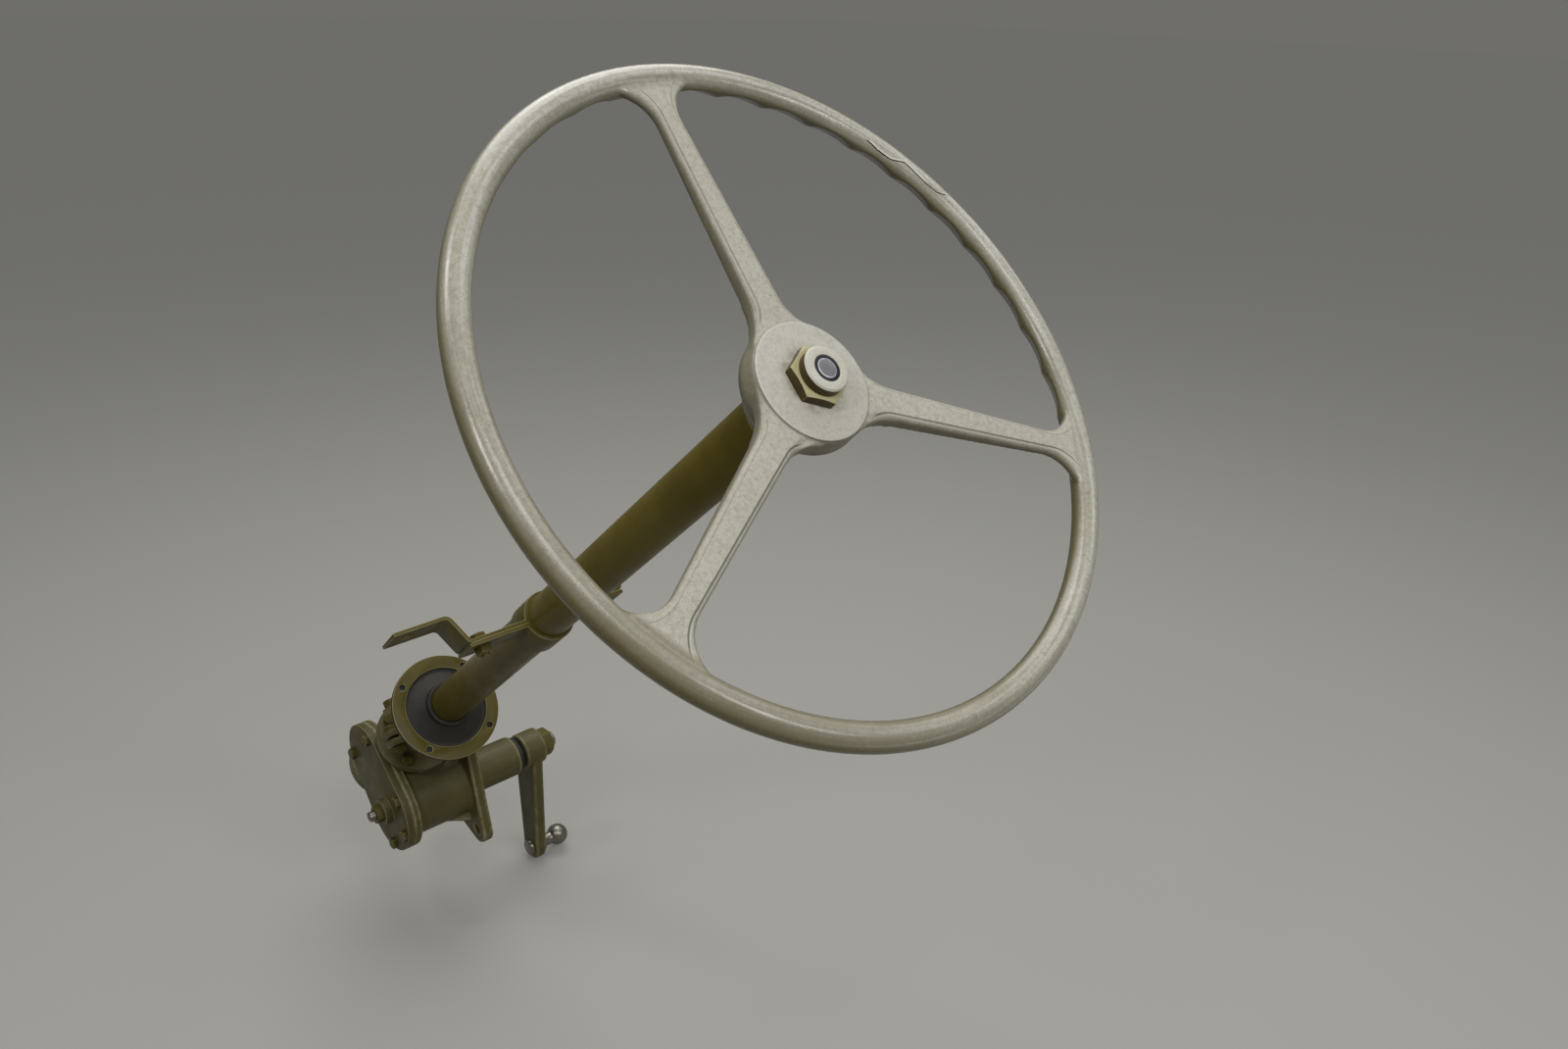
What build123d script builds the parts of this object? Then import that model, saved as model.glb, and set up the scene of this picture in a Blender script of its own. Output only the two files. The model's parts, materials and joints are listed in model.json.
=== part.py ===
from build123d import *

import os
from math import acos, atan2, cos, degrees, radians, sin, sqrt

os.makedirs("parts", exist_ok=True)

# Steering gear of a small four-wheel-drive car: steering wheel, column and steering box.
# Millimetres and degrees. The origin is the centre of the steering box's frame flange,
# on the face that lies against the outer side of the left frame rail.
# +X points to the car's right, +Y forward, +Z up.

# Fits and gaps
seat_gap = 0.05
running_gap = 0.06
hub_gap = 6.0
arm_gap = 5.0
shaft_clearance = 1.0

# Column, its height counted from the steering box up towards the driver
column_slope = 42.5
column_outboard = 52.0
cam_offset = 58.0
wheel_distance = 850.0
jacket_diameter = 38.1
jacket_wall = 1.6
shaft_diameter = 22.2
shaft_bore = 12.7
shaft_foot = 52.0
bearing_length = 22.0
bearing_lip = 2.0

# Steering wheel: rim and spokes
wheel_diameter = 438.0
rim_thickness = 17.3
spoke_count = 3
top_spoke_angle = 93.0
spoke_width_at_hub = 23.0
spoke_width_at_rim = 15.5
spoke_top_at_hub = -0.7
spoke_top_at_rim = 6.2
spoke_bottom_at_hub = -13.5
spoke_bottom_at_rim = -1.0
spoke_edge_radius = 3.2
spoke_lower_edge_radius = 2.4
spoke_root_depth = 5.5
rim_corner_radius = 25.0
rim_flare_reach = 1.25
hub_corner_radius = 20.0

# Steering wheel: finger grips, each a shallow hollow on the rim's inner lower side
grip_count = 13
grip_pitch = 7.7
grip_depth = 1.4
grip_land = 2.4
grip_lean = 40.0

# Steering wheel: hub
hub_disc_diameter = 78.0
hub_disc_height = 0.8
hub_disc_edge = 1.2
hub_side_diameter = 82.0
hub_side_drop = 12.0
hub_neck_diameter = 54.0
hub_neck_fillet = 5.0
hub_drop = 38.0
hub_overlap = 0.5

# Wheel nut and horn button
nut_flats = 34.0
nut_height = 7.5
nut_chamfer = 1.6
collar_diameter = 29.8
collar_top = 15.2
collar_edge = 1.0
horn_bush_diameter = 17.4
horn_button_diameter = 13.4
horn_dome = 0.9

# Dash clamp
clamp_drop = 425.0
clamp_width = 32.0
strap_thickness = 3.0
strap_bend = 5.0
clamp_bolt_spread = 59.0
flange_reach = 74.0
leg_lean = 9.0
leg_rise = 25.0
leg_reach = 128.0
leg_hole_spread = 113.0
leg_hole_diameter = 8.7

# Bolts: the clamp's pair and the socket's one, then the smaller ones of the covers
bolt_hole_gap = 0.4
hexagon_edge = 1.0
clamp_bolt_diameter = 7.9
clamp_bolt_flats = 12.7
clamp_head_height = 5.5
clamp_nut_height = 6.5
bolt_stand_out = 2.0
cover_bolt_diameter = 6.35
cover_bolt_flats = 11.1
cover_head_height = 4.5
cover_bolt_depth = 8.0
cover_bolt_inset = 7.4
end_bolt_count = 4
chamber_bolt_count = 4
barrel_bolt_count = 2
side_bolt_step = 60.0

# Toe-board seal
toe_distance = 160.0
toe_ring_diameter = 108.0
toe_ring_bore = 82.0
toe_ring_thickness = 2.5
toe_pitch_diameter = 95.0
toe_hole_count = 4
toe_hole_diameter = 6.6
seal_thickness = 4.0
seal_step = 3.0
seal_lip_diameter = 46.0
seal_lip_height = 16.0
seal_cone_height = 9.6

# Steering box
flange_thickness = 12.0
flange_pitch_diameter = 120.0
flange_hole_count = 3
flange_hole_diameter = 11.5
flange_lobe_radius = 16.0
box_width = 86.0
chamber_radius = 38.0
barrel_diameter = 64.0
barrel_half_length = 58.0
joint_rim_width = 9.0
joint_rim_depth = 10.0
trunnion_diameter = 46.0
trunnion_taper = 5.0
trunnion_length = 62.0
rib_thickness = 8.0
rib_reach = 11.0
rib_height = 26.0
filler_boss_diameter = 28.0
filler_boss_height = 6.0
filler_station = 26.0

# Covers, plugs and screws of the steering box
cover_thickness = 7.0
cover_boss_diameter = 30.0
cover_boss_height = 8.0
cover_boss_draft = 8.0
cover_edge = 1.0
screw_diameter = 11.1
screw_stand_out = 6.0
screw_slot = 1.8
lock_nut_flats = 17.5
lock_nut_height = 7.0
socket_diameter = 50.0
socket_length = 40.0
socket_floor = 6.0
socket_shoulder = 2.0
socket_slot = 3.0
ear_reach = 16.0
ear_thickness = 7.0
ear_length = 22.0
end_plug_diameter = 34.0
end_plug_height = 8.0
filler_flats = 16.0
filler_height = 9.0
filler_collar_diameter = 24.0
filler_collar_height = 3.0

# Lever shaft and pitman arm
lever_shaft_diameter = 22.2
lever_shaft_end = 44.0
lever_shaft_taper = 1.6
lever_thread_diameter = 18.0
seal_ring_thickness = 4.0
seal_ring_diameter = 40.0
arm_hub_diameter = 42.0
arm_hub_length = 25.0
arm_length = 140.0
arm_thickness = 14.0
arm_end_diameter = 30.0
arm_edge_radius = 3.0
arm_nut_flats = 28.6
arm_nut_height = 14.0
arm_nut_edge = 1.5
thread_stand_out = 6.0
ball_diameter = 25.4
ball_neck_diameter = 15.0
ball_neck_length = 14.0
ball_shank_diameter = 16.0
rivet_head_diameter = 21.0
rivet_head_height = 3.0

slope = radians(column_slope)
up_column = Vector(0, -cos(slope), sin(slope))
up_wheel = Vector(0, sin(slope), cos(slope))
column = Plane(
    origin=Vector(-column_outboard, 0, 0) + up_wheel * cam_offset,
    x_dir=(1, 0, 0), z_dir=up_column,
)
column_axis = Axis(column.origin, column.z_dir)

# The wheel's own x axis lies along its upper spoke
top_spoke = radians(top_spoke_angle)
wheel = Plane(
    origin=column.offset(wheel_distance).origin,
    x_dir=Vector(cos(top_spoke), 0, 0) + up_wheel * sin(top_spoke), z_dir=up_column,
)

jacket_radius = jacket_diameter / 2
shaft_radius = shaft_diameter / 2
rim_radius = (wheel_diameter - rim_thickness) / 2


def radial(base):
    """Plane through a base plane's normal: radius along its x, height along its y."""
    return Plane(origin=base.origin, x_dir=base.x_dir, z_dir=-base.y_dir)


def turned(label, base, profile):
    """Solid of revolution about a base plane's normal, from (radius, height) corners."""
    with BuildPart() as piece:
        with BuildSketch(radial(base)):
            Polygon(*profile, align=None)
        revolve(axis=Axis(base.origin, base.z_dir))
    piece.part.label = label
    return piece.part


def hexagon(label, base, flats, height, edge=hexagon_edge, bore=0.0):
    """Hexagon head or nut that stands on a base plane, its top corners turned off."""
    corner_radius = flats / sqrt(3)
    with BuildPart() as piece:
        with BuildSketch(base):
            RegularPolygon(corner_radius, 6)
            if bore:
                Circle(bore / 2, mode=Mode.SUBTRACT)
        extrude(amount=height)
        with BuildSketch(radial(base)):
            Polygon(
                (0, 0), (corner_radius, 0), (corner_radius, height - edge),
                (flats / 2 - edge / 2, height), (0, height), align=None,
            )
        revolve(axis=Axis(base.origin, base.z_dir), mode=Mode.INTERSECT)
    piece.part.label = label
    return piece.part


def bolts(label, base, places, flats, diameter, head_height, depth):
    """Hexagon bolts with their heads on a base plane and their shanks below it."""
    with BuildPart() as pieces:
        for place in places:
            spot = Plane(origin=base.from_local_coords(place), x_dir=base.x_dir, z_dir=base.z_dir)
            add(hexagon("head", spot, flats, head_height))
            with BuildSketch(spot):
                Circle(diameter / 2)
            extrude(amount=-depth)
    pieces.part.label = label
    return pieces.part


# Steering wheel: one spoke, flared out into the hub and the rim, its lower face rising
# faster towards the rim than its upper one
spoke_start = hub_disc_diameter / 2 - hub_overlap
spoke_end = rim_radius - spoke_root_depth
spoke_span = spoke_end - spoke_start
spoke_taper = (spoke_width_at_hub - spoke_width_at_rim) / 2 / spoke_span
half_at_centre = spoke_width_at_hub / 2 + spoke_taper * spoke_start
half_at_rim = spoke_width_at_rim / 2 - spoke_taper * spoke_root_depth
half_sector = spoke_width_at_rim / 2 + rim_flare_reach * rim_corner_radius + spoke_root_depth


def sloped(at_hub, at_rim):
    """Plane that rises outwards along the upper spoke, its origin over the hub's edge."""
    along = wheel.x_dir * spoke_span + wheel.z_dir * (at_rim - at_hub)
    return Plane(
        origin=wheel.origin + wheel.x_dir * spoke_start + wheel.z_dir * at_hub,
        x_dir=along, z_dir=along.cross(wheel.y_dir),
    )


def free_edges(face):
    """Long edges of a spoke's face that lie between the hub's disc and the rim's root."""
    return [
        e for e in face.edges()
        if e.length > hub_corner_radius / 2
        and spoke_start + hub_overlap < (e @ 0.5 - wheel.origin).length < spoke_end + hub_overlap
    ]


upper_face = sloped(spoke_top_at_hub, spoke_top_at_rim)
lower_face = sloped(spoke_bottom_at_hub, spoke_bottom_at_rim)
with BuildPart() as spoke:
    with BuildSketch(upper_face) as plan:
        with Locations((-spoke_start, 0)):
            Circle(rim_radius)
            Circle(spoke_end, mode=Mode.SUBTRACT)
            Polygon(
                (0, 0), (2 * rim_radius, -2 * half_sector), (2 * rim_radius, 2 * half_sector),
                align=None, mode=Mode.INTERSECT,
            )
            Circle(spoke_start)
            Polygon(
                (0, -half_at_centre), (rim_radius, -half_at_rim),
                (rim_radius, half_at_rim), (0, half_at_centre), align=None,
            )
        corners = [v for v in plan.vertices() if 0 < abs(v.Y) < half_at_centre]
        fillet([v for v in corners if abs(v.X) < hub_corner_radius / 2], hub_corner_radius)
        corners = [v for v in plan.vertices() if 0 < abs(v.Y) < half_at_centre]
        fillet([v for v in corners if abs(v.X - spoke_span) < spoke_root_depth / 2], rim_corner_radius)
        with Locations((-spoke_start, 0)):
            Polygon(
                (spoke_start / 2, -spoke_start / 2), (wheel_diameter, -wheel_diameter),
                (wheel_diameter, wheel_diameter), (spoke_start / 2, spoke_start / 2),
                align=None, mode=Mode.INTERSECT,
            )
    extrude(amount=-hub_drop)
    split(bisect_by=lower_face, keep=Keep.TOP)
    uppermost = spoke.faces().sort_by(Axis(wheel.origin, upper_face.z_dir))[-1]
    fillet(free_edges(uppermost), spoke_edge_radius)
    lowermost = spoke.faces().sort_by(Axis(wheel.origin, lower_face.z_dir))[0]
    fillet(free_edges(lowermost), spoke_lower_edge_radius)

# Steering wheel: one moulding of hub, spokes and rim
side_radius = hub_side_diameter / 2
hub_neck_radius = hub_neck_diameter / 2
bowl_radius = side_radius - hub_neck_radius
bowl_foot = -hub_side_drop - bowl_radius
with BuildPart() as steering_wheel:
    for number in range(spoke_count):
        add(spoke.part.rotate(column_axis, number * 360 / spoke_count))
    with BuildSketch(radial(wheel)) as hub_profile:
        with BuildLine():
            Polyline(
                (hub_neck_radius, bowl_foot), (hub_neck_radius, -hub_drop), (0, -hub_drop), (0, hub_disc_height),
                (hub_disc_diameter / 2, hub_disc_height), (side_radius, -hub_side_drop),
            )
            CenterArc((hub_neck_radius, -hub_side_drop), bowl_radius, -90, 90)
        make_face()
        neck_corner = hub_profile.vertices().sort_by_distance((hub_neck_radius, bowl_foot))[0]
        fillet(neck_corner, hub_neck_fillet)
        disc_corner = hub_profile.vertices().sort_by_distance((hub_disc_diameter / 2, hub_disc_height))[0]
        fillet(disc_corner, hub_disc_edge)
    revolve(axis=column_axis)
    with BuildSketch(wheel.offset(-hub_drop)):
        Circle(shaft_radius + seat_gap)
    extrude(amount=hub_drop + rim_thickness, mode=Mode.SUBTRACT)
    with BuildSketch(radial(wheel)):
        with Locations((rim_radius, 0)):
            Circle(rim_thickness / 2)
    revolve(axis=column_axis)

    # Finger grips along both upper stretches of rim, each as long as its land leaves it
    lean = radians(grip_lean)
    leaned_radius = rim_radius - rim_thickness / 2 * cos(lean)
    grip_length = radians(grip_pitch) * leaned_radius - grip_land
    grip_radius = 1 / (8 * grip_depth / grip_length ** 2 + cos(lean) / leaned_radius)
    grip_planes = []
    for side in (-1, 1):
        for number in range(grip_count):
            turn = side * 180 / spoke_count + (number - (grip_count - 1) / 2) * grip_pitch
            outwards = wheel.x_dir * cos(radians(turn)) + wheel.y_dir * sin(radians(turn))
            inwards = -outwards * cos(lean) - wheel.z_dir * sin(lean)
            along_rim = wheel.z_dir.cross(outwards)
            grip_planes.append(Plane(
                origin=wheel.origin + outwards * rim_radius, x_dir=inwards, z_dir=inwards.cross(along_rim),
            ))
    with BuildSketch(*grip_planes):
        with Locations((rim_thickness / 2 - grip_depth + grip_radius, 0)):
            Circle(grip_radius)
        with Locations((rim_thickness / 2, 0)):
            Rectangle(4 * grip_depth, grip_length + grip_land / 2, mode=Mode.INTERSECT)
    extrude(amount=rim_thickness / 2, both=True, mode=Mode.SUBTRACT)
steering_wheel.part.label = "steering_wheel"
export_step(steering_wheel.part, "parts/steering_wheel.step")

# Wheel nut: hexagon under a round collar, bored for the shaft below and the button above
nut_seat = wheel.offset(hub_disc_height)
shaft_top = hub_disc_height + nut_height - nut_chamfer
nut_hexagon = hexagon("nut", nut_seat, nut_flats, nut_height, nut_chamfer)
with BuildPart() as wheel_nut:
    add(nut_hexagon)
    with BuildSketch(radial(wheel)):
        Polygon(
            (0, hub_disc_height), (collar_diameter / 2, hub_disc_height),
            (collar_diameter / 2, collar_top - collar_edge),
            (collar_diameter / 2 - collar_edge, collar_top), (0, collar_top), align=None,
        )
    revolve(axis=column_axis)
    with BuildSketch(nut_seat):
        Circle(shaft_radius + seat_gap)
    extrude(amount=shaft_top + seat_gap - hub_disc_height, mode=Mode.SUBTRACT)
    with BuildSketch(nut_seat):
        Circle(horn_bush_diameter / 2 + seat_gap)
    extrude(amount=collar_top, mode=Mode.SUBTRACT)
wheel_nut.part.label = "wheel_nut"
export_step(wheel_nut.part, "parts/wheel_nut.step")

# Horn button in its insulating bush, both standing on the shaft's end
button_radius = horn_button_diameter / 2
horn_bush = turned("horn_bush", wheel, [
    (button_radius + seat_gap, shaft_top), (horn_bush_diameter / 2, shaft_top),
    (horn_bush_diameter / 2, collar_top), (button_radius + seat_gap, collar_top + horn_dome / 2),
])
export_step(horn_bush, "parts/horn_bush.step")

dome_radius = (button_radius ** 2 + horn_dome ** 2) / (2 * horn_dome)
dome_start = degrees(acos(button_radius / dome_radius))
with BuildPart() as horn_button:
    with BuildSketch(radial(wheel)):
        with BuildLine():
            Polyline(
                (0, collar_top + horn_dome), (0, shaft_top), (button_radius, shaft_top),
                (button_radius, collar_top),
            )
            CenterArc((0, collar_top + horn_dome - dome_radius), dome_radius, dome_start, 90 - dome_start)
        make_face()
    revolve(axis=column_axis)
horn_button.part.label = "horn_button"
export_step(horn_button.part, "parts/horn_button.step")

# Steering shaft: a tube from inside the box up into the wheel nut
steering_shaft = turned("steering_shaft", column, [
    (shaft_bore / 2, -shaft_foot), (shaft_radius, -shaft_foot),
    (shaft_radius, wheel_distance + shaft_top), (shaft_bore / 2, wheel_distance + shaft_top),
])
export_step(steering_shaft, "parts/steering_shaft.step")

# Column jacket, and the bearing in its upper end
jacket_foot = barrel_half_length + socket_floor
jacket_top = wheel_distance - hub_drop - hub_gap - bearing_lip
column_jacket = turned("column_jacket", column, [
    (jacket_radius - jacket_wall, jacket_foot), (jacket_radius, jacket_foot),
    (jacket_radius, jacket_top), (jacket_radius - jacket_wall, jacket_top),
])
export_step(column_jacket, "parts/column_jacket.step")

bearing_radius = jacket_radius - jacket_wall - seat_gap
upper_bearing = turned("upper_bearing", column, [
    (shaft_radius + running_gap, jacket_top - bearing_length), (bearing_radius, jacket_top - bearing_length),
    (bearing_radius, jacket_top), (jacket_radius, jacket_top),
    (jacket_radius, jacket_top + bearing_lip), (shaft_radius + running_gap, jacket_top + bearing_lip),
])
export_step(upper_bearing, "parts/upper_bearing.step")

# Dash clamp: two straps round the jacket, bolted together through flat flanges, the upper
# one carried on in a stepped leg at each side that bolts under the dash
clamp_middle = column.offset(wheel_distance - clamp_drop)
clamp_base = clamp_middle.offset(-clamp_width / 2)
strap_inner = jacket_radius + seat_gap
strap_outer = strap_inner + strap_thickness
bolt_hole = clamp_bolt_diameter / 2 + bolt_hole_gap
flange_face = Plane(origin=clamp_middle.origin, x_dir=(1, 0, 0), z_dir=up_wheel)
foot_face = flange_face.offset(leg_rise)
with BuildPart() as clamp_upper_strap:
    with BuildSketch(clamp_base):
        Circle(strap_outer)
        with Locations((0, -strap_outer)):
            Rectangle(2 * strap_outer, 2 * strap_outer, mode=Mode.SUBTRACT)
        with BuildLine():
            leg = FilletPolyline(
                (0, 0), (flange_reach, 0), (flange_reach + leg_lean, leg_rise), (leg_reach, leg_rise),
                radius=strap_bend,
            )
            offset(leg, amount=strap_thickness, side=Side.LEFT)
        make_face()
        mirror(about=Plane.YZ)
        Circle(strap_inner, mode=Mode.SUBTRACT)
    extrude(amount=clamp_width)
    with BuildSketch(flange_face):
        with GridLocations(2 * clamp_bolt_spread, 0, 2, 1):
            Circle(bolt_hole)
    extrude(amount=strap_thickness, mode=Mode.SUBTRACT)
    with BuildSketch(foot_face):
        with GridLocations(2 * leg_hole_spread, 0, 2, 1):
            Circle(leg_hole_diameter / 2)
    extrude(amount=strap_thickness, mode=Mode.SUBTRACT)
clamp_upper_strap.part.label = "clamp_upper_strap"
export_step(clamp_upper_strap.part, "parts/clamp_upper_strap.step")

with BuildPart() as clamp_lower_strap:
    with BuildSketch(clamp_base):
        Circle(strap_outer)
        with Locations((0, strap_outer)):
            Rectangle(2 * strap_outer, 2 * strap_outer, mode=Mode.SUBTRACT)
        with Locations((0, -strap_thickness / 2)):
            Rectangle(2 * flange_reach, strap_thickness)
        Circle(strap_inner, mode=Mode.SUBTRACT)
    extrude(amount=clamp_width)
    with BuildSketch(flange_face.offset(-strap_thickness)):
        with GridLocations(2 * clamp_bolt_spread, 0, 2, 1):
            Circle(bolt_hole)
    extrude(amount=strap_thickness, mode=Mode.SUBTRACT)
clamp_lower_strap.part.label = "clamp_lower_strap"
export_step(clamp_lower_strap.part, "parts/clamp_lower_strap.step")

with BuildPart() as clamp_bolts:
    add(bolts(
        "bolts", flange_face.offset(strap_thickness), [(-clamp_bolt_spread, 0), (clamp_bolt_spread, 0)],
        clamp_bolt_flats, clamp_bolt_diameter, clamp_head_height,
        2 * strap_thickness + clamp_nut_height + bolt_stand_out,
    ))
    for side in (-1, 1):
        nut_base = Plane(
            origin=flange_face.from_local_coords((side * clamp_bolt_spread, 0, -strap_thickness)),
            x_dir=(1, 0, 0), z_dir=-up_wheel,
        )
        add(hexagon("nut", nut_base, clamp_bolt_flats, clamp_nut_height))
clamp_bolts.part.label = "clamp_bolts"
export_step(clamp_bolts.part, "parts/clamp_bolts.step")

# Toe-board seal: a rubber collar on the jacket under a flat retaining ring
toe = column.offset(toe_distance)
toe_seal = turned("toe_seal", toe, [
    (strap_inner, -seal_thickness), (toe_ring_diameter / 2, -seal_thickness),
    (toe_ring_diameter / 2, 0), (toe_ring_bore / 2 - seal_step, 0),
    (seal_lip_diameter / 2, seal_cone_height), (seal_lip_diameter / 2, seal_lip_height),
    (strap_inner, seal_lip_height),
])
export_step(toe_seal, "parts/toe_seal.step")

with BuildPart() as toe_ring:
    with BuildSketch(toe):
        Circle(toe_ring_diameter / 2)
        Circle(toe_ring_bore / 2, mode=Mode.SUBTRACT)
        with PolarLocations(toe_pitch_diameter / 2, toe_hole_count, 180 / toe_hole_count):
            Circle(toe_hole_diameter / 2, mode=Mode.SUBTRACT)
    extrude(amount=toe_ring_thickness)
toe_ring.part.label = "toe_ring"
export_step(toe_ring.part, "parts/toe_ring.step")

# Steering box: lever chamber, cam barrel along the column, frame flange with its ribs, and
# trunnion; the pattern of the side cover's bolts follows the joint's outline
cam_place = (cam_offset * sin(slope), cam_offset * cos(slope))
cam_turn = degrees(atan2(cam_place[1], cam_place[0]))
joint_face = Plane.YZ.offset(-box_width)
cover_face = joint_face.offset(-cover_thickness)
chamber_joint = chamber_radius + joint_rim_width
end_radius = barrel_diameter / 2 + joint_rim_width
flange_turn = cam_turn + 180
lobe_turns = [flange_turn + number * 360 / flange_hole_count for number in range(flange_hole_count)]


def joint_outline():
    """Outline of the side joint: round the lever chamber and the cam barrel."""
    Circle(chamber_joint)
    with Locations(cam_place):
        Circle(end_radius)
    make_hull()


def polar(radius, turn, centre=(0, 0)):
    """Place at a radius and an angle from a centre."""
    return centre[0] + radius * cos(radians(turn)), centre[1] + radius * sin(radians(turn))


side_places = []
for number in range(chamber_bolt_count):
    turn = flange_turn + (number - (chamber_bolt_count - 1) / 2) * side_bolt_step
    side_places.append(polar(chamber_joint - cover_bolt_inset, turn))
for number in range(barrel_bolt_count):
    turn = cam_turn + (2 * number - (barrel_bolt_count - 1)) * side_bolt_step
    side_places.append(polar(end_radius - cover_bolt_inset, turn, cam_place))
end_places = []
for number in range(end_bolt_count):
    turn = (number + 0.5) * 360 / end_bolt_count
    end_places.append(polar(end_radius - cover_bolt_inset, turn))
cover_bolt_hole = cover_bolt_diameter / 2 + bolt_hole_gap
with BuildPart() as steering_box:
    with BuildSketch(joint_face):
        Circle(chamber_radius)
        with Locations(cam_place):
            Circle(barrel_diameter / 2)
        make_hull()
    extrude(amount=box_width - flange_thickness)
    with BuildSketch(joint_face):
        joint_outline()
    extrude(amount=joint_rim_depth)
    with BuildSketch(Plane.YZ.offset(-flange_thickness)):
        Circle(chamber_radius)
        with PolarLocations(flange_pitch_diameter / 2, flange_hole_count, flange_turn):
            Circle(flange_lobe_radius)
        make_hull()
        with PolarLocations(flange_pitch_diameter / 2, flange_hole_count, flange_turn):
            Circle(flange_hole_diameter / 2, mode=Mode.SUBTRACT)
    extrude(amount=flange_thickness)
    for turn in lobe_turns:
        outwards = Vector(0, *polar(1, turn))
        rib_plane = Plane(
            origin=(-flange_thickness, 0, 0), x_dir=outwards, z_dir=outwards.cross(Vector(1, 0, 0)),
        )
        with BuildSketch(rib_plane):
            Polygon(
                (chamber_radius - rib_thickness, 0), (chamber_radius + rib_reach, 0),
                (chamber_radius - rib_thickness, -rib_height * (rib_reach + rib_thickness) / rib_reach),
                align=None,
            )
        extrude(amount=rib_thickness / 2, both=True)
    with BuildSketch(radial(column)):
        Polygon(
            (0, -barrel_half_length), (end_radius, -barrel_half_length),
            (end_radius, joint_rim_depth - barrel_half_length),
            (barrel_diameter / 2, joint_rim_depth - barrel_half_length),
            (barrel_diameter / 2, barrel_half_length - joint_rim_depth),
            (end_radius, barrel_half_length - joint_rim_depth),
            (end_radius, barrel_half_length), (0, barrel_half_length), align=None,
        )
    revolve(axis=column_axis)
    with BuildSketch(radial(Plane.YZ)):
        Polygon(
            (0, -flange_thickness), (trunnion_diameter / 2 + trunnion_taper, -flange_thickness),
            (trunnion_diameter / 2 + trunnion_taper, 0), (trunnion_diameter / 2, trunnion_taper * 2),
            (trunnion_diameter / 2, trunnion_length), (0, trunnion_length), align=None,
        )
    revolve(axis=Axis.X)
    filler_boss_base = Plane(
        origin=column.origin + up_column * filler_station, x_dir=(1, 0, 0), z_dir=up_wheel,
    )
    with BuildSketch(filler_boss_base):
        Circle(filler_boss_diameter / 2)
    extrude(amount=barrel_diameter / 2 + filler_boss_height)

    # Bores for the steering shaft and the lever shaft, and the covers' bolt holes
    with BuildSketch(column.offset(-shaft_foot - shaft_clearance)):
        Circle(shaft_radius + running_gap)
    extrude(amount=2 * barrel_half_length, mode=Mode.SUBTRACT)
    with BuildSketch(Plane.YZ.offset(-lever_shaft_end - shaft_clearance)):
        Circle(lever_shaft_diameter / 2 + running_gap)
    extrude(amount=lever_shaft_end + shaft_clearance + trunnion_length, mode=Mode.SUBTRACT)
    with BuildSketch(joint_face):
        with Locations(*side_places):
            Circle(cover_bolt_hole)
    extrude(amount=cover_bolt_depth + bolt_hole_gap, mode=Mode.SUBTRACT)
    for end in (-1, 1):
        with BuildSketch(column.offset(end * barrel_half_length)):
            with Locations(*end_places):
                Circle(cover_bolt_hole)
        extrude(amount=-end * (cover_bolt_depth + bolt_hole_gap), mode=Mode.SUBTRACT)
steering_box.part.label = "steering_box"
export_step(steering_box.part, "parts/steering_box.step")

# Side cover with the adjusting screw's boss, on the box's outboard face
outboard = Plane(origin=cover_face.origin, x_dir=(0, 1, 0), z_dir=(-1, 0, 0))
boss_face = outboard.offset(cover_boss_height)
with BuildPart() as side_cover:
    with BuildSketch(cover_face):
        joint_outline()
        with Locations(*side_places):
            Circle(cover_bolt_hole, mode=Mode.SUBTRACT)
    extrude(amount=cover_thickness)
    with BuildSketch(outboard):
        Circle(cover_boss_diameter / 2)
    extrude(amount=cover_boss_height, taper=cover_boss_draft)
side_cover.part.label = "side_cover"
export_step(side_cover.part, "parts/side_cover.step")

side_cover_bolts = bolts(
    "side_cover_bolts", outboard, [(along, -up) for along, up in side_places], cover_bolt_flats,
    cover_bolt_diameter, cover_head_height, cover_thickness + cover_bolt_depth,
)
export_step(side_cover_bolts, "parts/side_cover_bolts.step")

lock_nut = hexagon(
    "lock_nut", boss_face, lock_nut_flats, lock_nut_height, bore=screw_diameter + 2 * seat_gap,
)
export_step(lock_nut, "parts/lock_nut.step")

with BuildPart() as adjusting_screw:
    with BuildSketch(boss_face):
        Circle(screw_diameter / 2)
    extrude(amount=lock_nut_height + screw_stand_out)
    with BuildSketch(boss_face.offset(lock_nut_height + screw_stand_out)):
        Rectangle(screw_slot, 2 * screw_diameter)
    extrude(amount=-2 * screw_slot, mode=Mode.SUBTRACT)
adjusting_screw.part.label = "adjusting_screw"
export_step(adjusting_screw.part, "parts/adjusting_screw.step")

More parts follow.
